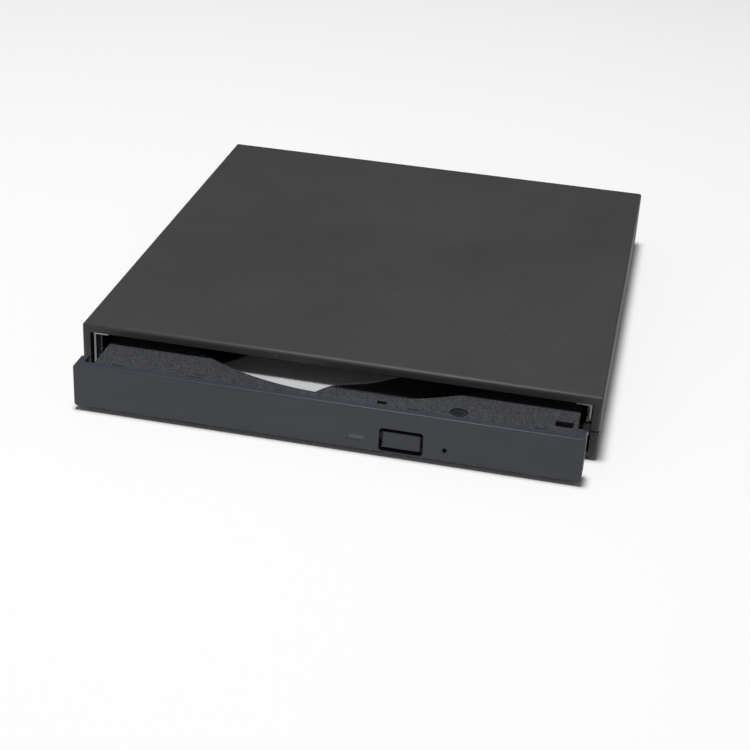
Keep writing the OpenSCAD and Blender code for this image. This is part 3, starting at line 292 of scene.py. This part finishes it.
FINISHES = {
    case_abs: ["top_cover"],
    lower_case_abs: ["bottom_case"],
    tray_abs: ["tray"],
    bezel_abs: ["bezel"],
    button_abs: ["eject_button"],
    zinc_sheet: ["chassis_bottom", "chassis_top", "rear_bracket", "tray_bottom_cover"],
    pickup_sheet: ["pickup_cover"],
    plate_with_painted_reflection: ["mechanism_cover"],
    grey_pressing: ["traverse_frame"],
    lever_pressing: ["latch_lever", "eject_switch"],
    socket_shell: ["usb_socket"],
    pickup_casting: ["pickup_sled"],
    screw_steel: ["case_screws", "chassis_screws", "board_screws", "bracket_screw", "cover_screws",
                  "damper_screws"],
    black_screw: ["tray_screw"],
    ground_bar: ["guide_rods", "latch_post", "eject_guide_pin", "lead_screw"],
    spring_wire: ["eject_spring"],
    motor_can: ["spindle_motor", "sled_motor"],
    rail_strip: ["left_rail", "right_rail"],
    hub_metal: ["disc_hub"],
    board: ["main_board", "bridge_board", "tray_board"],
    chip_epoxy: ["main_board_chips", "bridge_chips"],
    black_nylon: ["drive_connector", "dc_socket"],
    cream_nylon: ["bridge_connector"],
    slide_acetal: ["left_rail_guide", "right_rail_guide"],
    table_moulding: ["turntable"],
    claw_acetal: ["hub_claws"],
    foot_rubber: ["rubber_feet"],
    damper_rubber: ["rubber_dampers"],
    lens_mount: ["lens_frame"],
    copper_coil: ["latch_solenoid"],
    wire_copper: ["suspension_wires"],
    flex_film: ["flex_cable"],
    lamp_window: ["light_pipe"],
    lamp_resin: ["indicator_led"],
    lens_glass: ["objective_lens"],
}
for finish, names in FINISHES.items():
    for name in names:
        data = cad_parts[name].data
        data.materials.clear()
        data.materials.append(finish)


# ---------------------------------------------------------------- eased edges

# Radius in mm of the edges that a mould, a tumbling drum or a press leaves on each piece
EASED = {
    0.25: ["rubber_feet"],
    0.15: ["eject_button", "top_cover", "bottom_case"],
    0.1: ["bezel", "light_pipe", "turntable", "disc_hub", "hub_claws", "pickup_sled", "dc_socket",
          "spindle_motor", "left_rail_guide", "right_rail_guide", "drive_connector"],
    0.06: ["case_screws", "tray_screw", "chassis_screws", "cover_screws", "main_board_chips",
           "bridge_chips", "usb_socket", "lens_frame", "latch_lever", "indicator_led"],
}
for radius, names in EASED.items():
    for name in names:
        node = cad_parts[name]
        weld = node.modifiers.new("one_skin", "WELD")
        weld.merge_threshold = 0.002 * MM
        ease = node.modifiers.new("eased_edges", "BEVEL")
        ease.width = radius * MM
        ease.segments = 2
        ease.limit_method = "ANGLE"
        ease.angle_limit = math.radians(50)
        ease.use_clamp_overlap = True
        ease.harden_normals = True


# ---------------------------------------------------------------- pieces drawn more finely

def piece(name, mesh, finish, body, node):
    """An object of that mesh and finish that rides on a body and stands for a CAD node."""
    mesh.materials.append(finish)
    thing = bpy.data.objects.new(name, mesh)
    bpy.context.collection.objects.link(thing)
    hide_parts(node)
    if body:
        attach(thing, body)
    return thing


def skin(name, bm, rings):
    """A mesh of that name over rings of points, one after the other, with closed ends."""
    sides = len(rings[0])
    for near, far in zip(rings, rings[1:]):
        for k in range(sides):
            bm.faces.new((near[k], near[(k + 1) % sides], far[(k + 1) % sides], far[k]))
    bm.faces.new(rings[0])
    bm.faces.new(reversed(rings[-1]))
    bmesh.ops.recalc_face_normals(bm, faces=bm.faces)
    for face in bm.faces:
        face.smooth = len(face.verts) == 4
    mesh = bpy.data.meshes.new(name)
    bm.to_mesh(mesh)
    bm.free()
    return mesh


def ring(bm, middle, radius, side, up, sides):
    """A circle of points about middle, in the plane of the directions side and up."""
    angles = [math.tau * k / sides for k in range(sides)]
    return [bm.verts.new(middle + radius(a) * (math.cos(a) * side + math.sin(a) * up)) for a in angles]


def coil_spring():
    """The eject spring wound from one wire: nine open turns and a flat turn at each end."""
    low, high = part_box("eject_spring")
    middle = (low + high) / 2
    wire, open_turns, turn_steps, sides = 0.25 * MM, 9, 20, 8
    coil = (high.x - low.x) / 2 - wire
    flat_rise = 0.95 * 2 * wire
    open_rise = high.y - low.y - 2 * wire - 2 * flat_rise
    steps = turn_steps * (open_turns + 2)
    path = []
    for i in range(steps + 1):
        turn = i / turn_steps
        flat = min(turn, 1) + max(turn - open_turns - 1, 0)
        opened = min(max(turn - 1, 0), open_turns) / open_turns
        path.append(Vector((middle.x + coil * math.cos(math.tau * turn),
                            low.y + wire + flat * flat_rise + opened * open_rise,
                            middle.z + coil * math.sin(math.tau * turn))))
    bm = bmesh.new()
    rings = []
    for i, spot in enumerate(path):
        ahead = (path[min(i + 1, steps)] - path[max(i - 1, 0)]).normalized()
        side = ahead.cross(Vector((0, 1, 0))).normalized()
        rings.append(ring(bm, spot, lambda angle: wire, side, side.cross(ahead), sides))
    piece("coil_spring", skin("coil_spring", bm, rings), spring_wire, "case", "eject_spring")


def threaded_screw():
    """The sled's lead screw with its rounded thread, one turn every 3 mm, a plain front end, and a
    thinner journal that runs in the sled motor."""
    low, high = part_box("lead_screw")
    lean = math.radians(40)
    axis = Vector((math.sin(lean), math.cos(lean), 0))
    side = Vector((math.cos(lean), -math.sin(lean), 0))
    crest = (high.z - low.z) / 2
    step, journal, plain, chamfer = 0.4 * MM, 5.3 * MM, 2 * MM, 0.2 * MM
    pitch, depth = 3 * MM, 0.28 * MM
    middle = (low + high) / 2 + step / 2 * Vector((math.cos(lean), math.sin(lean), 0))
    length = (high.x - low.x - (2 * crest - step) * math.cos(lean)) / math.sin(lean)
    rings_along, sides = 220, 20
    bm = bmesh.new()
    rings = []
    for i in range(rings_along + 1):
        at = length * i / rings_along
        core = crest - step if at > length - journal else crest
        core -= chamfer * max(0, 1 - min(at, length - at) / chamfer)
        cut = depth * min(max((min(at, length - journal - at) - plain) / pitch, 0), 1)
        phase = math.tau * at / pitch
        rings.append(ring(bm, middle + axis * (at - length / 2),
                          lambda angle: core - cut * (0.5 - 0.5 * math.cos(phase - angle)) ** 0.7,
                          side, Vector((0, 0, 1)), sides))
    piece("threaded_screw", skin("threaded_screw", bm, rings), ground_bar, "lead_screw", "lead_screw")


def folded_cable():
    """The flat cable, drawn again from its CAD mesh with its doubled points merged; it stays where it
    lies and rides on no body."""
    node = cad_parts["flex_cable"]
    mesh = node.data.copy()
    mesh.transform(node.matrix_world)
    mesh.materials.clear()
    bm = bmesh.new()
    bm.from_mesh(mesh)
    bmesh.ops.remove_doubles(bm, verts=bm.verts, dist=0.001 * MM)
    bm.to_mesh(mesh)
    bm.free()
    cable = piece("folded_cable", mesh, flex_film, None, "flex_cable")
    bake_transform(cable)


coil_spring()
threaded_screw()
folded_cable()


# ---------------------------------------------------------------- floor, light, camera

def studio_floor():
    """A pale matt sheet under the drive, 3.2 m square."""
    bm = bmesh.new()
    half = 1.6
    corners = [bm.verts.new((x * half, y * half, 0)) for x, y in ((-1, -1), (1, -1), (1, 1), (-1, 1))]
    bm.faces.new(corners)
    mesh = bpy.data.meshes.new("floor")
    bm.to_mesh(mesh)
    bm.free()
    floor = bpy.data.objects.new("floor", mesh)
    bpy.context.collection.objects.link(floor)
    material, tree, shader, place = start("pale_floor", roughness=0.8)
    paint(tree, shader, between(tree, "#f2f2f2", "#f6f6f6", noise(tree, place, 400, 2.0)))
    mesh.materials.append(material)


def soft_box(name, place, aim, size, power):
    """A rectangular studio light at place, turned towards aim."""
    data = bpy.data.lights.new(name, "AREA")
    data.shape = "RECTANGLE"
    data.size, data.size_y = size
    data.energy = power
    lamp = bpy.data.objects.new(name, data)
    lamp.location = place
    lamp.rotation_mode = "QUATERNION"
    lamp.rotation_quaternion = (Vector(aim) - Vector(place)).to_track_quat("-Z", "Y")
    bpy.context.collection.objects.link(lamp)


def studio_light():
    """A dim white room, a soft box high over the drive and a weak one low at the front left."""
    world = bpy.data.worlds.new("studio")
    world.use_nodes = True
    room = world.node_tree.nodes["Background"]
    room.inputs["Color"].default_value = linear("#ffffff")
    room.inputs["Strength"].default_value = 0.13
    bpy.context.scene.world = world
    soft_box("overhead", (-0.07, -0.08, 1.5), (-0.02, 0, 0), (0.3, 0.3), 21.5)
    soft_box("front", (-0.5, -1.0, 0.35), (0, -0.05, 0), (0.7, 0.4), 0.8)


def camera():
    """The viewer stands in front of the drive, a little to its right, and looks down 28 degrees."""
    data = bpy.data.cameras.new("camera")
    data.lens = 77.8
    data.clip_start, data.clip_end = 0.01, 20
    view = bpy.data.objects.new("camera", data)
    view.location = (0.0743, -0.41198, 0.20357)
    aim = Vector((-0.16001, 0.86821, -0.46969))
    view.rotation_mode = "QUATERNION"
    roll = Quaternion((0, 0, 1), math.radians(3.36))
    view.rotation_quaternion = aim.to_track_quat("-Z", "Y") @ roll
    bpy.context.collection.objects.link(view)
    bpy.context.scene.camera = view


studio_floor()
studio_light()
camera()
bpy.context.scene.view_settings.view_transform = "Standard"
